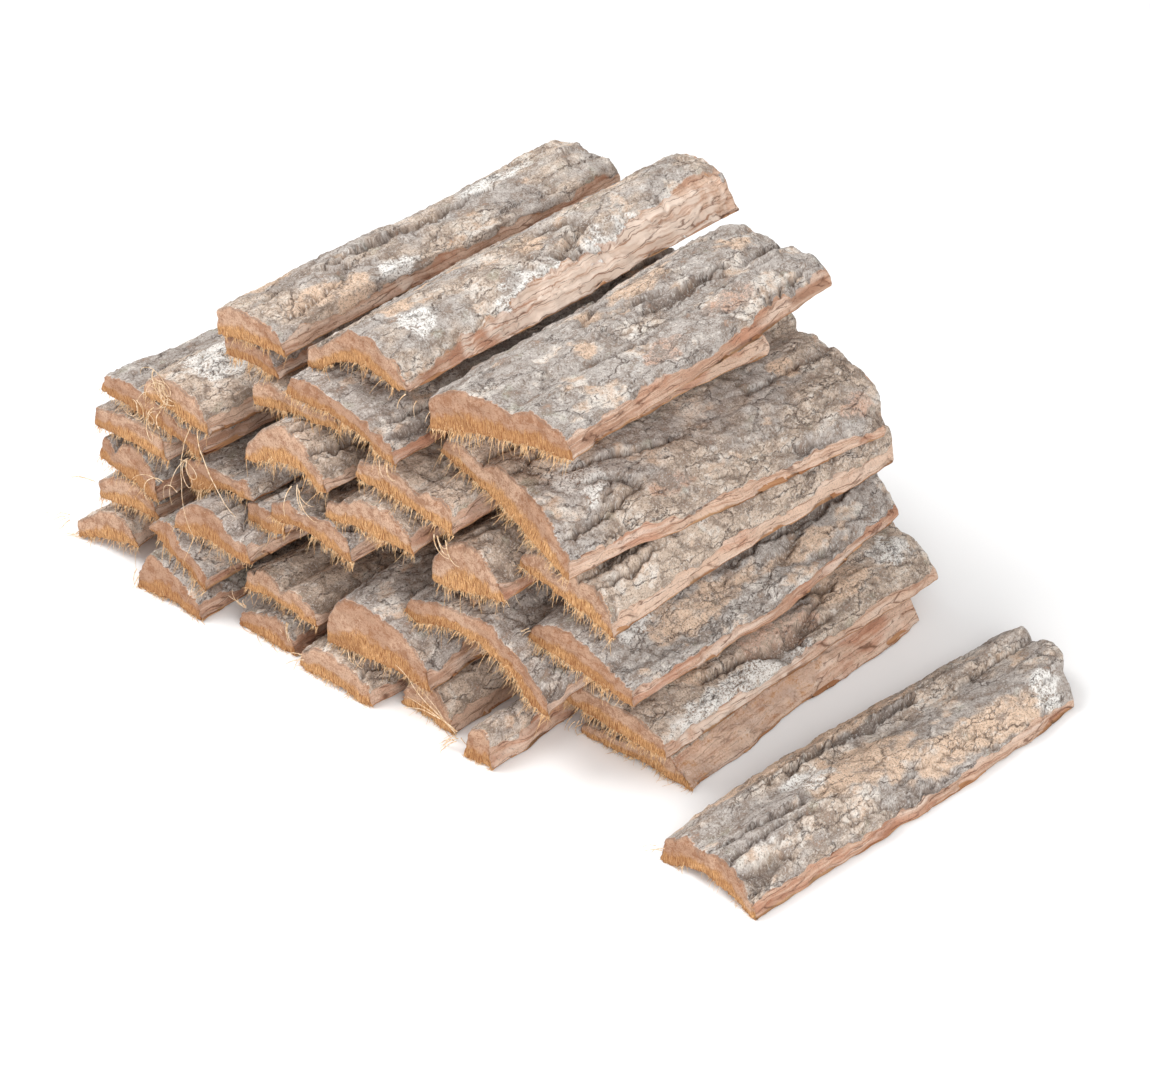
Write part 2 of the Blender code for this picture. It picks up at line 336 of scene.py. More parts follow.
print(sum(len(marks) for marks in SPOTS.values()), "marks on", len(SPOTS), "strips")

# %% [markdown]
# ## Bark
# Furrows are where a slow wander crosses zero, which gives winding lines as long as a hand. Finer cracks
# follow the borders between cells, and short splits run across. Flakes have come off in patches, which leaves
# shallow steps with crisp edges. A bump in the finish could fake all this, but it would show flat along the
# edges, so the points really move. A furrow also pulls down what lies under it, so a saw cut shows the same
# dips as the bark beside it.

# %% Carve the bark
# Depths and heights are in millimetres.
FURROW_DEPTH = 4.0
CRACK_DEPTH = 1.3
PLATE_STEP = 0.7
SPLIT_DEPTH = 0.9
FLAKE_DEPTH = 0.8
LUMP_HEIGHT = 1.6
GRAIN_HEIGHT = 1.0
CRUMB_HEIGHT = 1.0
STANDS_PROUD = 1.8
DEEPEST_SHARE = 0.45
# The saw flattened the bark's relief over this length from the cut.
SAW_SMOOTHS = 12
SEEDS_PER_STRIP = 20


def carve_bark(strip):
    """Moves the points under the bark down by the depth of its relief."""
    p, seed = strip.points * (1, 1, 0), strip.seed * SEEDS_PER_STRIP
    sway = np.outer(wander(p, (16, 40, 1), seed), (2.5, 0, 0))
    shake = np.outer(wander(p, (4, 5, 1), seed + 1), (1.8, 2.6, 0))
    tremble = np.outer(wander(p, (1.7, 2.0, 1), seed + 2), (0.8, 1.0, 0))
    bent = p + sway + shake + tremble
    line = np.abs(wander(bent, (17, 110, 1), seed + 2))
    present = rise(-0.1, 0.4, wander(p, (30, 60, 1), seed + 3))
    furrow = (1 - rise(0.0, 0.14, line)) * present
    edge, level = plates(bent, (9, 18), seed + 4)
    crack = (1 - rise(0.0, 0.12, edge)) * rise(-0.2, 0.3, wander(p, (14, 20, 1), seed + 5))
    split = 1 - rise(0.0, 0.06, np.abs(wander(bent, (20, 9, 1), seed + 6)))
    split = split * rise(0.0, 0.35, wander(p, (14, 18, 1), seed + 7))
    patch = wander(bent, (12, 22, 1), seed + 8) + 0.35 * wander(p, (3.5, 5, 1), seed + 9)
    strip.flake = rise(0.34, 0.42, patch) * (1 - 0.7 * furrow)
    mark_spots(strip, bent, p, seed)
    # A dark mark carves its furrow deeper, and the finish darkens it there with painted shade.
    furrow = np.maximum(furrow, strip.spots["dark"])
    lump = 0.5 + 0.5 * wander(bent, (12, 22, 1), seed + 10)
    grain = 0.5 + 0.5 * wander(p, (4.5, 6, 1), seed + 11)
    crumb = 0.5 + 0.5 * wander(p, (1.9, 2.4, 1), seed + 12)
    rough = GRAIN_HEIGHT * grain + CRUMB_HEIGHT * crumb
    depth = (FURROW_DEPTH * furrow + CRACK_DEPTH * crack + SPLIT_DEPTH * split + FLAKE_DEPTH * strip.flake
             + PLATE_STEP * level * rise(0.0, 0.12, edge) + LUMP_HEIGHT * lump
             + (1 - 0.5 * strip.flake) * rough)
    # The finish darkens these furrows, cracks and splits with painted shade.
    strip.furrow = np.clip(furrow + 0.7 * crack + 0.8 * split, 0, 1)
    depth = (depth - STANDS_PROUD) * (0.5 + 0.5 * rise(0, SAW_SMOOTHS, p[:, 1]))
    depth = np.minimum(depth, DEEPEST_SHARE * strip.thick)
    strip.moved = np.zeros_like(strip.points)
    strip.moved[:, 2] -= depth * strip.above ** 1.3


print("furrows up to", FURROW_DEPTH, "mm deep and cracks up to", CRACK_DEPTH, "mm")

# %% [markdown]
# ## Sides, ends and inner face
# The sides are torn along the grain, so their steps are long and low. The far end was broken rather than
# sawn, and has weathered to round lobes. The saw cut is nearly flat, but the bark's rim crumbles there and
# the inner fibres fray into strings that hang a little below the edge. The same wander makes all of these,
# stretched along the grain for a tear and across it for a lobe.

# %% Tear the sides and fray the ends
# How far from an end its breaking or fraying reaches, and the most that a broken end falls short.
FAR_REACH = 30
CUT_REACH = 7
DEEPEST_LOBE = 13


def carve_rest(strip):
    """Moves the points of the sides, the ends and the inner face."""
    p, seed = strip.points, strip.seed * SEEDS_PER_STRIP
    across, along, _ = p.T
    half = np.abs(across).max()
    only_along = p * (0, 1, 0)
    outline = wander(only_along + (9, 0, 0), (1, 26, 1), seed + 13)
    outline += 0.5 * wander(only_along, (1, 9, 1), seed + 14)
    strip.moved[:, 0] -= np.sign(across) * (np.abs(across) / half) ** 2 * (0.8 + 1.5 * outline)
    streak = 0.5 + 0.5 * wander(p, (2.2, 45, 1.8), seed + 15)
    chunk = rise(0.05, 0.35, wander(p, (9, 22, 5), seed + 16))
    crumb = 0.5 + 0.5 * wander(p, (2, 6, 2), seed + 12)
    torn = (1.0 * streak + 2.2 * chunk + 0.8 * crumb) * strip.side
    strip.moved -= strip.normals * torn[:, None]
    strip.moved -= strip.normals * (strip.inner * 0.8 * streak)[:, None]

    lobe = 2.0 + 4.5 * wander(p, (15, 60, 12), seed + 17) + 0.8 * wander(p, (4, 30, 4), seed + 18)
    lobe = np.clip(lobe + 4 * strip.above ** 3 + 4 * (np.abs(across) / half) ** 4, 0, DEEPEST_LOBE)
    strip.moved[:, 1] -= lobe * rise(strip.length - FAR_REACH, strip.length, along) ** 2

    string = wander(p, (0.9, 9, 5), seed + 19)
    rim = rise(0.7, 1.0, strip.above) * np.clip(wander(p, (5, 60, 60), seed + 3), 0, 1)
    near = 1 - rise(0, CUT_REACH, along)
    uneven = wander(p, (12, 60, 7), seed + 8) + 0.6 * wander(p, (4, 60, 3), seed + 9)
    frayed = strip.cut * 0.5 * string * (1.1 - strip.above)
    strip.moved[:, 1] += near * (2.4 * rim + 0.9 * uneven + 1.0 * (1 - strip.above)) + frayed
    hem = near ** 2 * np.clip(0.35 - strip.above, 0, 1) / 0.35
    strip.moved[:, 2] -= hem * (0.5 + 0.8 * wander(p * (1, 0, 0), (1.6, 1, 1), seed + 18))


print("a far end is broken over its last", FAR_REACH, "mm, by up to", DEEPEST_LOBE, "mm")

# %% [markdown]
# ## What the finish needs to know
# The finish is painted by rule, and the rules need to know what each point is. Every point carries its kind
# of surface, its furrows (which the finish darkens with painted shade), its flakes, its height in the strip
# and its marks, and its place in the strip's own axes, where the grain runs true however the strip lies.
# Object coordinates would run the grain askew on a tilted strip.

# %% Give the points what the finish reads
FIRST_SEED = 3
# Each strip's grain starts this many metres from the last one's, so that no two strips are alike.
GRAIN_OFFSET = 0.37
# Below-bark depths are carried in centimetres, which keeps them near 1.
MM_PER_CM = 10
FIELDS = {"FLOAT_COLOR": "color", "FLOAT_VECTOR": "vector", "FLOAT": "value"}


def give(mesh, name, kind, values):
    """A named attribute on every point."""
    layer = mesh.attributes.new(name, kind, "POINT")
    layer.data.foreach_set(FIELDS[kind], np.ascontiguousarray(values, dtype=np.float32).ravel())


def finish_strip(strip):
    """The strip's mesh back in its place in the heap, above the floor, with its attributes."""
    mesh, ones = strip.mesh, np.ones(len(strip.points))
    own = (strip.points + strip.moved) * MM
    world = own @ strip.axes + strip.start
    world[:, 2] = np.maximum(world[:, 2], 0)
    mesh.vertices.foreach_set("co", world.ravel())
    kinds = np.stack([strip.bark, strip.cut, strip.side + strip.far, ones], axis=1)
    furrow_flake_height = np.stack([strip.furrow, strip.flake, strip.above, ones], axis=1)
    give(mesh, "kinds", "FLOAT_COLOR", kinds)
    give(mesh, "furrow_flake_height", "FLOAT_COLOR", furrow_flake_height)
    spots = np.stack([*(strip.spots[kind] for kind in SPOT_KINDS[:3]), ones], axis=1)
    give(mesh, "spots", "FLOAT_COLOR", spots)
    give(mesh, "below_bark", "FLOAT", strip.below_bark / MM_PER_CM)
    give(mesh, "grain", "FLOAT_VECTOR", strip.points * MM + strip.seed * GRAIN_OFFSET)
    tone = np.random.default_rng(strip.seed).random()
    give(mesh, "tone", "FLOAT", tone * ones)
    mesh.shade_smooth()
    mesh.update()
    piece = bpy.data.objects.new(strip.name + "_bark", mesh)
    bpy.context.scene.collection.objects.link(piece)
    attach(piece, "root")
    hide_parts(strip.name)
    return piece


# %% [markdown]
# ## All strips
# Every strip goes through the same steps, and its number seeds its patterns, so each comes out different and
# each run gives the same heap.

# %% Carve all strips
grown = []
facets = 0
for number, name in enumerate(STRIPS, start=FIRST_SEED):
    strip = skin_strip(name, number)
    sort_points(strip)
    carve_bark(strip)
    carve_rest(strip)
    strip.piece = finish_strip(strip)
    facets += 2 * len(strip.mesh.polygons)
    grown.append(strip)
print(len(grown), "strips carved,", facets, "triangles")

# %% [markdown]
# ## Frayed fibres
# The inner bark is made of long fibres. The saw pulled them out along the lower edge of each cut, where they
# stand out as a short fringe. Hair particles would be quicker to comb, but an exported model can't hold
# them. So each fibre is a thin tapering curve, and the curves become two meshes, one for the lower courses
# and one for the upper.

# %% How a fibre is made
# A fibre's tip is thinner than its root by this share.
TAPER = 0.65


def fibre_curves(name):
    """An empty set of thin curves."""
    curves = bpy.data.curves.new(name, "CURVE")
    curves.dimensions = "3D"
    curves.bevel_depth = MM
    curves.bevel_resolution = 0
    curves.resolution_u = 2
    curves.use_fill_caps = True
    return curves


def add_fibre(curves, path, thickness, smooth=False):
    """One tapering fibre through these world points."""
    spline = curves.splines.new("NURBS" if smooth else "POLY")
    spline.points.add(len(path) - 1)
    for index, (point, spot) in enumerate(zip(spline.points, path)):
        point.co = (*spot, 1)
        point.radius = thickness * (1 - TAPER * index / (len(path) - 1))
    if smooth:
        spline.order_u = 4
        spline.use_endpoint_u = True


# %% Grow the fringe
# How thick the fringe is on each strip, where it isn't the usual.
FRINGE = {
    "sixth_strip_4": 1.6, "second_strip_6": 1.6, "sixth_strip_3": 1.3, "fifth_strip_2": 1.3,
    "third_strip_5": 1.4, "second_strip_5": 1.4, "fourth_strip_4": 1.3, "fifth_strip_4": 1.2,
    "third_strip_4": 1.2, "fourth_strip_3": 1.1, "fifth_strip_3": 1.1, "loose_strip": 0.3,
    "seventh_strip_2": 0.5, "top_strip": 0.4,
}
USUAL_FRINGE = 0.8
FIBRES_PER_MM = 4.2
FIBRE_THICKNESS = 0.15
# Fibres root below this share of the thickness, ever more of them towards the lower edge.
ROOTS_BELOW = 0.4
FIBRE_STEPS = 4
FRINGE_ABOVE_FLOOR = 0.4 * MM
FRINGE_SEED = 11


def fringe_of(strip, curves, chance):
    """Fibres of a millimetre or two along the lower edge of a strip's saw cut, pointing out and down."""
    now = strip.points + strip.moved
    roots = np.flatnonzero((strip.cut > 0.5) & (strip.above < ROOTS_BELOW))
    width = np.ptp(strip.points[:, 0])
    wanted = int(width * FIBRES_PER_MM * FRINGE.get(strip.name, USUAL_FRINGE))
    weights = (0.42 - strip.above[roots]) ** 5
    chosen = chance.choice(roots, wanted, p=weights / weights.sum())
    for root in chosen:
        reach = chance.gamma(2.5, 0.6)
        heading = np.array([chance.normal(0, 0.4), -0.45 - 0.3 * chance.random(), chance.normal(-0.55, 0.45)])
        bend = chance.normal(0, 0.35, 3) + (0, 0, -0.75)
        start = now[root] + (chance.normal(0, 0.4), 0.5, 0)
        path = []
        for step in np.linspace(0, 1, FIBRE_STEPS):
            own = start + reach * (heading * step + bend * step * step)
            spot = (own * MM) @ strip.axes + strip.start
            spot[2] = max(spot[2], FRINGE_ABOVE_FLOOR)
            path.append(spot)
        add_fibre(curves, path, FIBRE_THICKNESS * chance.uniform(0.7, 1.2))


def curves_to_piece(curves, name):
    """The fibres as one mesh piece in place."""
    holder = bpy.data.objects.new(name, curves)
    bpy.context.scene.collection.objects.link(holder)
    bpy.context.view_layer.update()
    mesh = bpy.data.meshes.new_from_object(holder.evaluated_get(bpy.context.evaluated_depsgraph_get()))
    bpy.data.objects.remove(holder)
    mesh.shade_smooth()
    piece = bpy.data.objects.new(name, mesh)
    bpy.context.scene.collection.objects.link(piece)
    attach(piece, "root")
    return piece


fringe_chance = np.random.default_rng(FRINGE_SEED)
fringes = []
for piece_name, slot, wanted_strips in (("lower_fringe", "ground_strip_4", [s for s in grown if s.low]),
                                        ("upper_fringe", "sixth_strip_4", [s for s in grown if not s.low])):
    fringe_curves = fibre_curves(piece_name)
    for strip in wanted_strips:
        fringe_of(strip, fringe_curves, fringe_chance)
    fringes.append(curves_to_piece(fringe_curves, piece_name))
    print(piece_name, "has", len(fringe_curves.splines), "fibres,", len(fringes[-1].data.polygons), "facets")

# %% [markdown]
# ## Stray fibres
# A few long fibres have sprung loose and curl in front of the cuts. Drawing each curl point by point would
# be slow, so each is a walk that starts at a place on a cut and keeps turning: its whole shape comes from a
# heading, a length and a turn.

# %% Let some fibres spring loose
# Each row is a strip, a place across and up its cut from 0 to 1, a heading in degrees (0 right, 90 up), a
# length in millimetres, the whole turn in degrees, and how many fibres.
STRAYS = [
    ("ground_strip_7", 0.05, 0.3, 205, 18, 50, 5), ("ground_strip_7", 0.2, 0.1, 235, 14, -60, 4),
    ("second_strip_1", 0.05, 0.5, 170, 12, 60, 3), ("ground_strip_1", 0.9, 0.05, 270, 8, 40, 3),
    ("ground_strip_1", 0.1, 0.3, 215, 9, 50, 3), ("ground_strip_2", 0.1, 0.6, 150, 14, -90, 4),
    ("ground_strip_3", 0.1, 0.3, 200, 12, 60, 3), ("ground_strip_6", 0.1, 0.5, 118, 40, 60, 4),
    ("ground_strip_6", 0.1, 0.3, 190, 16, 80, 4), ("ground_strip_4", 0.8, 0.0, 270, 12, 120, 4),
    ("sixth_strip_1", 0.3, 0.8, 225, 42, 400, 6), ("sixth_strip_1", 0.55, 0.4, 250, 34, -340, 5),
    ("fifth_strip_1", 0.3, 0.6, 60, 26, -260, 4), ("fifth_strip_1", 0.55, 0.7, 190, 30, 280, 4),
    ("sixth_strip_1", 0.8, 0.05, 266, 56, 28, 2), ("fourth_strip_2", 0.05, 0.7, 215, 42, 250, 3),
    ("fourth_strip_2", 0.2, 0.1, 260, 22, 140, 3), ("third_strip_2", 0.1, 0.9, 130, 20, 160, 3),
    ("fifth_strip_3", 0.8, 0.0, 265, 22, 120, 4), ("fifth_strip_2", 0.6, 0.0, 250, 18, 100, 4),
    ("sixth_strip_3", 0.9, 0.0, 255, 12, 90, 3), ("second_strip_5", 0.05, 0.2, 200, 14, 60, 5),
    ("ground_strip_5", 0.1, 0.3, 215, 12, 70, 5), ("fourth_strip_4", 0.1, 0.1, 225, 14, 80, 4),
    ("second_strip_4", 0.3, 0.0, 260, 12, 120, 4), ("second_strip_6", 0.15, 0.3, 200, 12, 90, 4),
    ("third_strip_5", 0.1, 0.4, 190, 14, 70, 4), ("sixth_strip_4", 0.05, 0.3, 215, 12, 60, 3),
    ("loose_strip", 0.02, 0.4, 190, 9, 60, 3), ("second_strip_3", 0.5, 0.0, 255, 10, 80, 3),
]
STRAY_STEP = 1.6
FEWEST_STEPS = 5
STRAY_ABOVE_FLOOR = 0.5 * MM
STRAY_SEED = 21


def walk(start, heading, length, turn, chance):
    """The points of a curling fibre that stays in front of the cut and above the floor."""
    count = max(FEWEST_STEPS, int(length / STRAY_STEP))
    angle = math.radians(heading)
    out = chance.uniform(-0.9, -0.2)
    spot = np.array(start)
    spot[2] = max(spot[2], STRAY_ABOVE_FLOOR)
    path = [spot.copy()]
    for _ in range(count):
        angle += math.radians(turn) / count + chance.normal(0, 0.10)
        out += chance.normal(0, 0.08)
        step = np.array([math.cos(angle), out * 0.5, math.sin(angle)])
        spot = spot + STRAY_STEP * MM * step / np.linalg.norm(step)
        spot[2] = max(spot[2], STRAY_ABOVE_FLOOR)
        path.append(spot.copy())
    return path


stray_curves = fibre_curves("stray_fibres")
stray_chance = np.random.default_rng(STRAY_SEED)
for name, place_across, place_up, heading, length, turn, count in STRAYS:
    low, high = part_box(name)
    for _ in range(count):
        across_now = place_across + stray_chance.normal(0, 0.05)
        start = (low[0] + (high[0] - low[0]) * across_now,
                 low[1] + 2 * MM,
                 low[2] + (high[2] - low[2]) * np.clip(place_up + stray_chance.normal(0, 0.05), 0, 1))
        path = walk(start, heading + stray_chance.normal(0, 14), length * stray_chance.uniform(0.6, 1.1),
                    turn * stray_chance.uniform(0.5, 1.3), stray_chance)
        add_fibre(stray_curves, path, stray_chance.uniform(0.18, 0.32), smooth=True)
stray = curves_to_piece(stray_curves, "stray_fibres")
print(len(stray_curves.splines), "stray fibres,", len(stray.data.polygons), "facets")

# %% [markdown]
# ## Writing a finish as sums
# A finish is a set of rules such as "grey bark, darker in furrows, tan where a flake came off". Rules like
# that read best as sums, and hundreds of nodes made one by one don't read at all. So a small class wraps a
# socket: adding or multiplying wires adds the Math node.

# %% Wires
class Wire:
    """A socket that can be added, multiplied and so on."""

    def __init__(self, tree, socket):
        self.tree, self.socket = tree, socket

    def joined(self, operation, first, second):
        """A wire from a Math node that takes these two."""
        node = self.tree.nodes.new("ShaderNodeMath")
        node.operation = operation
        for inlet, value in zip(node.inputs, (first, second)):
            connect(self.tree, inlet, value)
        return Wire(self.tree, node.outputs[0])

    def __add__(self, other):
        return self.joined("ADD", self, other)

    def __radd__(self, other):
        return self.joined("ADD", other, self)

    def __sub__(self, other):
        return self.joined("SUBTRACT", self, other)

    def __rsub__(self, other):
        return self.joined("SUBTRACT", other, self)

    def __mul__(self, other):
        return self.joined("MULTIPLY", self, other)

    def __rmul__(self, other):
        return self.joined("MULTIPLY", other, self)


def connect(tree, inlet, value):
    """Links a wire to a socket, or sets the socket to a plain value."""
    if isinstance(value, Wire):
        tree.links.new(value.socket, inlet)
    else:
        inlet.default_value = value


def paint(red, green, blue):
    """A colour from 0 to 255 as a painter's swatch, as the light it reflects."""
    shares = [c / 255 for c in (red, green, blue)]
    return (*[s / 12.92 if s <= 0.04045 else ((s + 0.055) / 1.055) ** 2.4 for s in shares], 1)


print("a middle grey swatch reflects", round(paint(128, 128, 128)[0], 3), "of the light")

# %% [markdown]
# ## One class for a material
# Each finish here is a matt one with noise of several sizes in it. A class holds the material and makes those
# nodes with the settings that bark needs, so that each rule below takes one line.

# %% Finishes
DULL_SHINE = 0.25


class Finish:
    """One material and the nodes in it."""

    def __init__(self, name, roughness):
        self.material = bpy.data.materials.new(name)
        self.material.use_nodes = True
        self.tree = self.material.node_tree
        self.shader = self.tree.nodes["Principled BSDF"]
        self.shader.inputs["Roughness"].default_value = roughness
        self.shader.inputs["Specular IOR Level"].default_value = DULL_SHINE

    def node(self, kind, settings=None, values=None, outlet=0):
        """A node of this kind, with its settings made first and then its sockets by name or number."""
        node = self.tree.nodes.new("ShaderNode" + kind)
        for key, setting in (settings or {}).items():
            setattr(node, key, setting)
        for key, value in (values or {}).items():
            connect(self.tree, node.inputs[key], value)
        return Wire(self.tree, node.outputs[outlet])

    def read(self, name, outlet="Fac"):
        """An attribute of the points."""
        return self.node("Attribute", {"attribute_name": name}, outlet=outlet)

    def split(self, vector):
        """The three parts of a vector or colour."""
        node = self.tree.nodes.new("ShaderNodeSeparateXYZ")
        connect(self.tree, node.inputs[0], vector)
        return [Wire(self.tree, outlet) for outlet in node.outputs]

    def scaled(self, place, sizes):
        """A place counted in blots of these sizes in millimetres along the strip's axes."""
        return self.node("Mapping", values={"Vector": place, "Scale": [1 / (s * MM) for s in sizes]})

    def noise(self, place, sizes, detail=4.0, rough=0.6):
        """Noise with blots of these sizes."""
        return self.node("TexNoise", {"noise_dimensions": "3D"},
                         {"Vector": self.scaled(place, sizes), "Scale": 1.0, "Detail": detail,
                          "Roughness": rough})

    def shaken(self, place, sizes, swing):
        """A place pushed about by noise with blots of these sizes, within this swing in millimetres."""
        shake = self.node("TexNoise", None,
                          {"Vector": self.scaled(place, sizes), "Scale": 1.0, "Detail": 3.0}, outlet=1)
        centred = self.node("VectorMath", {"operation": "SUBTRACT"}, {0: shake, 1: (0.5, 0.5, 0.5)})
        return self.node("VectorMath", {"operation": "MULTIPLY_ADD"},
                         {0: centred, 1: [s * MM for s in swing], 2: place})

    def cells(self, place, sizes, width):
        """Thin lines between cells of these sizes."""
        gap = self.node("TexVoronoi", {"feature": "DISTANCE_TO_EDGE"},
                        {"Vector": self.scaled(place, sizes), "Scale": 1.0})
        return self.step(gap, width, 0.0)

    def step(self, value, low, high):
        """0 on low's side, 1 on high's side and a smooth rise between."""
        return self.node("MapRange", {"interpolation_type": "SMOOTHSTEP"},
                         {"Value": value, "From Min": low, "From Max": high})

    def blend(self, share, first, second):
        """Two colours mixed by a share."""
        return self.node("Mix", {"data_type": "RGBA"}, {0: share, 6: first, 7: second}, outlet=2)

    def bump(self, height, distance, strength):
        """Fine relief on the surface."""
        bumped = self.node("Bump", values={"Height": height, "Distance": distance, "Strength": strength})
        connect(self.tree, self.shader.inputs["Normal"], bumped)


strip_finish = Finish("bark_and_fibre", 0.88)
print("a new finish has", len(strip_finish.tree.nodes), "nodes")

# %% [markdown]
# ## The finish of the strips
# One finish serves all strips, because each point says what kind of surface it is. Nearly everything in it is
# mixed from the same few noises: speckle and pits finer than a millimetre, mottle the size of a flake, clouds
# the size of a plate, and streaks and strings that are stretched along the grain. A noise of its own for
# every colour would look busier, since real stains follow the same cracks and flakes.

# %% What the strips' finish is mixed from
f = strip_finish
grain = f.read("grain", "Vector")
is_bark, is_cut, is_side = f.split(f.read("kinds", "Color"))
furrow, flake, above = f.split(f.read("furrow_flake_height", "Color"))
spot_pale, spot_tan, spot_red = f.split(f.read("spots", "Color"))
below = f.read("below_bark") * MM_PER_CM
tone = f.read("tone")

speckle = f.noise(grain, (0.8, 1.0, 0.8), 6, 0.75)
mottle = f.noise(grain, (5, 9, 5), 5, 0.65)
cloud = f.noise(grain, (22, 45, 22), 4, 0.6)
streak = f.noise(grain, (1.2, 30, 1.2), 5, 0.6)
broad_streak = f.noise(grain, (4, 60, 4), 3, 0.5)
string = f.noise(grain, (0.35, 3.5, 3.0), 4, 0.6)
pit = f.noise(grain, (0.55, 0.7, 0.55), 4, 0.7)
print("seven noises,", len(f.tree.nodes), "nodes")

# %% [markdown]
# ## Bark colours
# Bark is grey, cooler on some strips and warmer on others, darkened and lightened in mottles, with a hint of
# moss. It is painted the way a maker would, from the broad colours to the small marks: each line below lays
# one colour over the last, in a share that a noise sets. Flakes and marks come next, then painted shade in
# the furrows, cracks and splits.

# %% Broad bark colours, flakes and marks
BARK_DARK = paint(142, 126, 114)
BARK_COOL = paint(188, 179, 172)
BARK_WARM = paint(210, 189, 170)
BARK_PALE = paint(234, 225, 215)
# Painted shade for the furrows, cracks and splits, and also the colour of the dark speckle.
FURROW_SHADE_AND_SPECK_BROWN = paint(98, 80, 68)
CRACK_BROWN = paint(84, 68, 60)
FLAKE_TAN = paint(226, 196, 170)
FLAKE_RED = paint(206, 164, 138)
CRUST_WHITE = paint(246, 243, 238)
MOSS = paint(172, 172, 150)

bark = f.blend(f.step(cloud + 0.5 * (tone - 0.5), 0.42, 0.58), BARK_COOL, BARK_WARM)
bark = f.blend(f.step(mottle, 0.56, 0.36) * 0.8, bark, BARK_DARK)
bark = f.blend(f.step(mottle + 0.4 * cloud, 0.74, 0.92) * 0.8, bark, BARK_PALE)
bark = f.blend(f.step(f.noise(grain, (9, 12, 9), 3, 0.5), 0.60, 0.72) * 0.35, bark, MOSS)
bark = f.blend(flake * 0.75, bark, f.blend(f.step(mottle, 0.36, 0.6), FLAKE_TAN, BARK_PALE))
bark = f.blend(spot_tan * f.step(mottle + 0.3 * speckle, 0.46, 0.66) * 0.95, bark, FLAKE_TAN)
bark = f.blend(spot_red * f.step(mottle + 0.6 * speckle, 0.70, 0.88) * 0.8, bark, FLAKE_RED)
bark = f.blend(spot_pale * f.step(speckle + 0.5 * mottle, 0.62, 0.78) * 0.9, bark, CRUST_WHITE)
bark = f.blend(f.step(f.noise(grain, (7, 13, 7), 6, 0.7), 0.58, 0.70) * 0.5, bark, CRUST_WHITE)
# Painted shade: the furrows, cracks and splits are darkened on top of their carved depth.
bark = f.blend(furrow * 0.7, bark, FURROW_SHADE_AND_SPECK_BROWN)
print("bark so far:", len(f.tree.nodes), "nodes")

# %% [markdown]
# ## Fine cracks and speckle
# Old bark is crazed with hairline cracks, some in a fine net and some long. Lines between cells make a net,
# but an even one looks like tiles. So the cells are shaken first, and the lines show only in some mottles and
# break off at pits. Dark and pale speckle goes over everything.

# %% Cracks, speckle and the bark's edge
shaken = f.shaken(grain, (2.5, 3.5, 2.5), (4, 6, 4))
fine_crack = f.cells(shaken, (6, 9, 6), 0.045) * f.step(cloud + 0.5 * mottle, 0.72, 0.88)
long_crack = f.cells(shaken, (12, 40, 12), 0.035) * f.step(mottle + 0.3 * cloud, 0.54, 0.70)
hairline = (fine_crack + (1 - fine_crack) * long_crack) * f.step(pit, 0.40, 0.52)
bark = f.blend(hairline * 0.9, bark, CRACK_BROWN)
bark = f.blend(f.step(speckle + 0.6 * (pit - 0.5), 0.50, 0.34) * 0.7, bark, FURROW_SHADE_AND_SPECK_BROWN)
bark = f.blend(f.step(speckle, 0.53, 0.66) * 0.55, bark, CRUST_WHITE)
ragged = 1.1 * (mottle - 0.5) + 0.6 * (speckle - 0.5)
bark = f.blend(f.step(is_bark + ragged, 0.88, 0.62) * 0.6, bark, FLAKE_RED)
print("bark with its cracks:", len(f.tree.nodes), "nodes")

# %% [markdown]
# ## Sides
# Where the strip was torn from its neighbour, the inner bark shows pinkish brown, in long streaks along the
# grain, with thin splits. It is built from the same noises as the bark, but from the stretched ones.

# %% Side colours
SIDE_PINK = paint(222, 192, 170)
SIDE_BROWN = paint(188, 148, 124)
SIDE_PALE = paint(236, 216, 200)
SIDE_RED = paint(190, 134, 106)
SIDE_SPLIT = paint(118, 84, 66)
side = f.blend(f.step(streak + 0.3 * (tone - 0.5), 0.36, 0.6), SIDE_BROWN, SIDE_PINK)
side = f.blend(f.step(cloud + 0.3 * mottle, 0.64, 0.8) * 0.7, side, SIDE_RED)
side = f.blend(f.step(broad_streak, 0.48, 0.68) * 0.7, side, SIDE_PALE)
side = f.blend(f.step(speckle, 0.5, 0.34) * 0.5, side, SIDE_SPLIT)
side_split = f.cells(f.shaken(grain, (3, 9, 3), (2, 3, 2)), (4, 46, 4), 0.05)
side_split = side_split * f.step(mottle + 0.3 * speckle, 0.56, 0.70)
side = f.blend(spot_pale * f.step(streak + 0.4 * mottle, 0.52, 0.74) * 0.9, side, SIDE_PALE)
side = f.blend(side_split * 0.85, side, SIDE_SPLIT)
print("with the sides:", len(f.tree.nodes), "nodes")

# %% [markdown]
# ## Saw cuts and inner face
# A saw cut shows the strip's layers: under the bark a brown and pink rim, and below it golden fibres cut
# across, which darken between the strings. How high a point lies between the inner face and the bark says
# which layer it is in. The inner face is plain fibre.

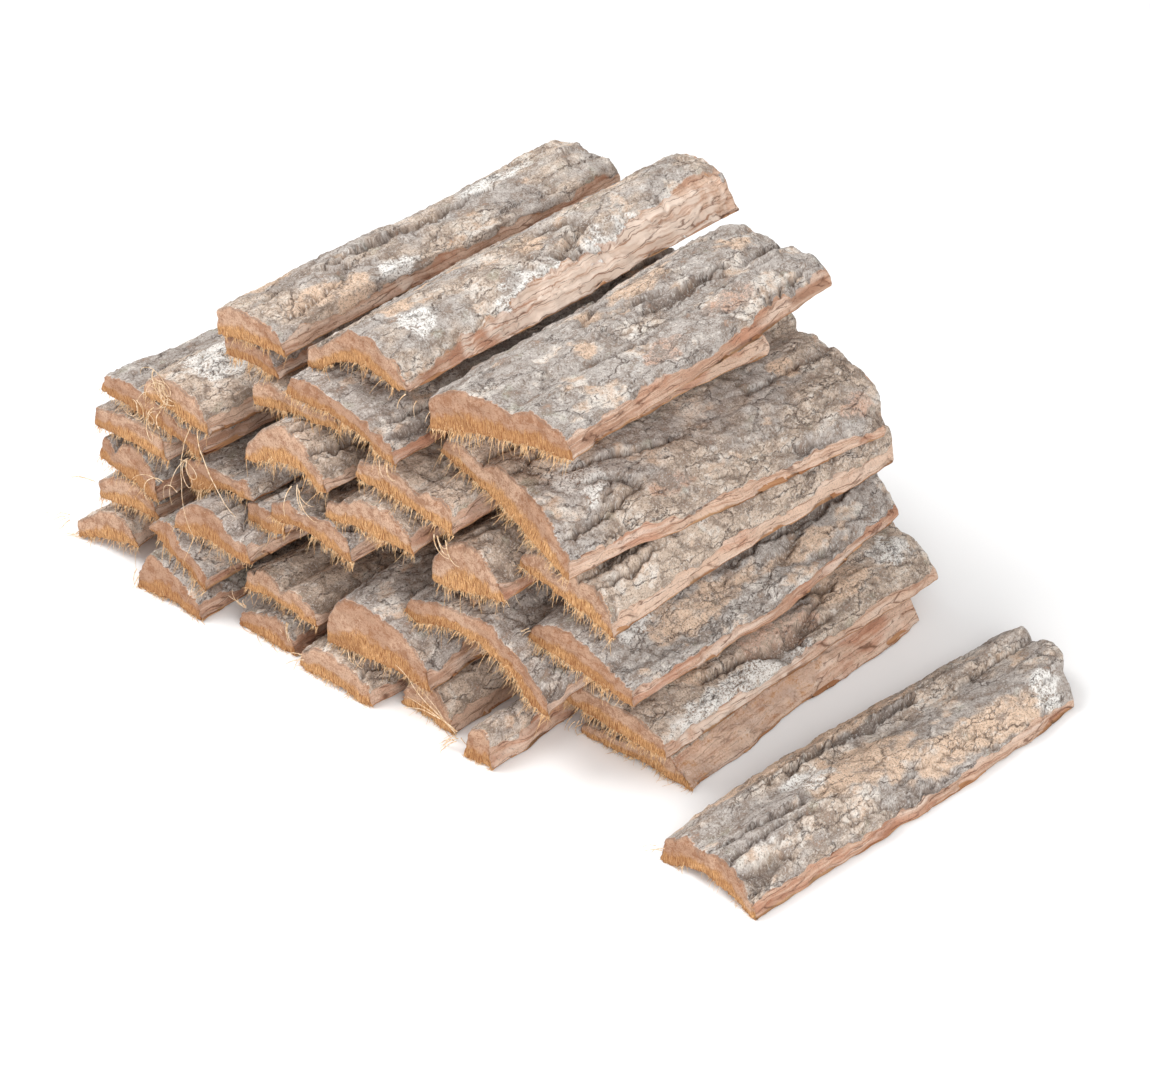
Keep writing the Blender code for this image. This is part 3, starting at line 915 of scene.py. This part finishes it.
# %% Cut and inner colours
FIBRE_GOLD = paint(212, 162, 110)
FIBRE_DARK = paint(142, 90, 54)
FIBRE_PALE = paint(234, 204, 164)
RIM_BROWN = paint(168, 128, 104)
RIM_PINK = paint(208, 174, 150)
cut = f.blend(f.step(string, 0.36, 0.56), FIBRE_DARK, FIBRE_GOLD)
cut = f.blend(f.step(string + 0.3 * speckle, 0.72, 0.9) * 0.8, cut, FIBRE_PALE)
cut = f.blend(f.step(above + 0.5 * (mottle - 0.5), 0.34, 0.56) * 0.92, cut,
              f.blend(f.step(mottle + 0.5 * (speckle - 0.5), 0.36, 0.6), RIM_BROWN, RIM_PINK))
cut = f.blend(f.step(below + 2.5 * (mottle - 0.5), 1.6, 0.4) * 0.6, cut, BARK_DARK)
cut = f.blend(f.step(cloud + 0.4 * (tone - 0.5), 0.56, 0.40) * 0.35, cut, FIBRE_DARK)
cut = f.blend(f.step(speckle, 0.52, 0.34) * 0.6, cut, FIBRE_DARK)

INNER_BROWN = paint(172, 122, 86)
INNER_GOLD = paint(206, 160, 120)
inner = f.blend(f.step(streak, 0.4, 0.62), INNER_BROWN, INNER_GOLD)
print("with the cuts and inner faces:", len(f.tree.nodes), "nodes")

# %% [markdown]
# ## Putting the strips' finish together
# Each kind of surface now takes its place by the points' kinds. The borders are made ragged with mottle and
# speckle, since the kinds alone change as smoothly as the skin's facets do. The same noises drive a bump for
# the relief that is finer than the facets.

# %% Mix by kind and finish the strips
colour = f.blend(f.step(is_side + ragged, 0.3, 0.6), inner, side)
colour = f.blend(f.step(is_bark + ragged, 0.35, 0.55), colour, bark)
colour = f.blend(f.step(is_cut + 0.4 * ragged, 0.4, 0.6), colour, cut)
connect(f.tree, f.shader.inputs["Base Color"], colour)
relief = (speckle * 0.8 + mottle * 0.5 + pit * 0.5 - hairline * 0.6 * is_bark
          + streak * 0.5 * (1 - is_bark) + string * 0.6 * is_cut)
f.bump(relief, MM, 0.8)
for strip in grown:
    strip.piece.data.materials.clear()
    strip.piece.data.materials.append(strip_finish.material)
print("strip finish:", len(f.tree.nodes), "nodes")

# %% [markdown]
# ## The finish of the fibres
# Loose fibres are cream to golden, and each is a little lighter or darker than the next. A material for each
# would do that too, but blots of noise in one material, smaller than the space between fibres, come to the
# same.

# %% Fibres
def fibre_finish(name, dark, pale):
    """Fibres between two colours, in blots smaller than the space between them."""
    finish = Finish(name, 0.7)
    place = finish.node("TexCoord", outlet="Object")
    blot = finish.noise(place, (1.5, 1.5, 1.5), 2, 0.5)
    colour = finish.blend(finish.step(blot, 0.35, 0.65), dark, pale)
    connect(finish.tree, finish.shader.inputs["Base Color"], colour)
    finish.bump(finish.noise(place, (0.2, 0.2, 0.2), 2, 0.5), 0.05 * MM, 0.3)
    return finish.material


fringe_finish = fibre_finish("fringe_gold", paint(196, 148, 100), paint(236, 204, 160))
for fringe in fringes:
    fringe.data.materials.append(fringe_finish)
stray.data.materials.append(fibre_finish("stray_cream", paint(200, 164, 124), paint(238, 216, 186)))
print("fibre finishes:", fringe_finish.name, "and", stray.data.materials[0].name)

# %% [markdown]
# ## Floor and light
# The heap lies on a plain white floor in a bright room, with a large soft lamp above on the left and a
# weaker one on the right. Small lamps would draw hard shadows, and the room alone would leave the bark flat.

# %% Floor and room
FLOOR_HALF = 4
BELOW_STRIPS = 0.3 * MM
ROOM_BRIGHTNESS = 0.62
FLOOR_WHITE = (0.93, 0.93, 0.93, 1)
floor_mesh = bpy.data.meshes.new("floor")
bm = bmesh.new()
bmesh.ops.create_grid(bm, x_segments=1, y_segments=1, size=FLOOR_HALF)
bm.to_mesh(floor_mesh)
bm.free()
floor = bpy.data.objects.new("floor", floor_mesh)
floor.location.z = -BELOW_STRIPS
bpy.context.scene.collection.objects.link(floor)
floor_finish = Finish("white_floor", 0.9)
floor_finish.shader.inputs["Base Color"].default_value = FLOOR_WHITE
floor_mesh.materials.append(floor_finish.material)

world = bpy.data.worlds.new("room")
world.use_nodes = True
world.node_tree.nodes["Background"].inputs["Color"].default_value = (1, 1, 1, 1)
world.node_tree.nodes["Background"].inputs["Strength"].default_value = ROOM_BRIGHTNESS
bpy.context.scene.world = world
print("floor", 2 * FLOOR_HALF, "m wide")


# %% Lamps
def soft_lamp(name, place, size, power):
    """A square soft lamp that shines at the heap."""
    lamp = bpy.data.lights.new(name, "AREA")
    lamp.shape = "SQUARE"
    lamp.size = size
    lamp.energy = power
    holder = bpy.data.objects.new(name, lamp)
    holder.location = place
    holder.rotation_euler = (Vector(place) - AIM).to_track_quat("Z", "Y").to_euler()
    bpy.context.scene.collection.objects.link(holder)


KEY_WATTS = 28
FILL_WATTS = 22
soft_lamp("key", (-0.9, -0.7, 1.6), 1.0, KEY_WATTS)
soft_lamp("fill", (1.3, -0.9, 0.9), 1.2, FILL_WATTS)
bpy.context.scene.view_settings.view_transform = "Standard"
print("lamps of", KEY_WATTS, "and", FILL_WATTS, "W")
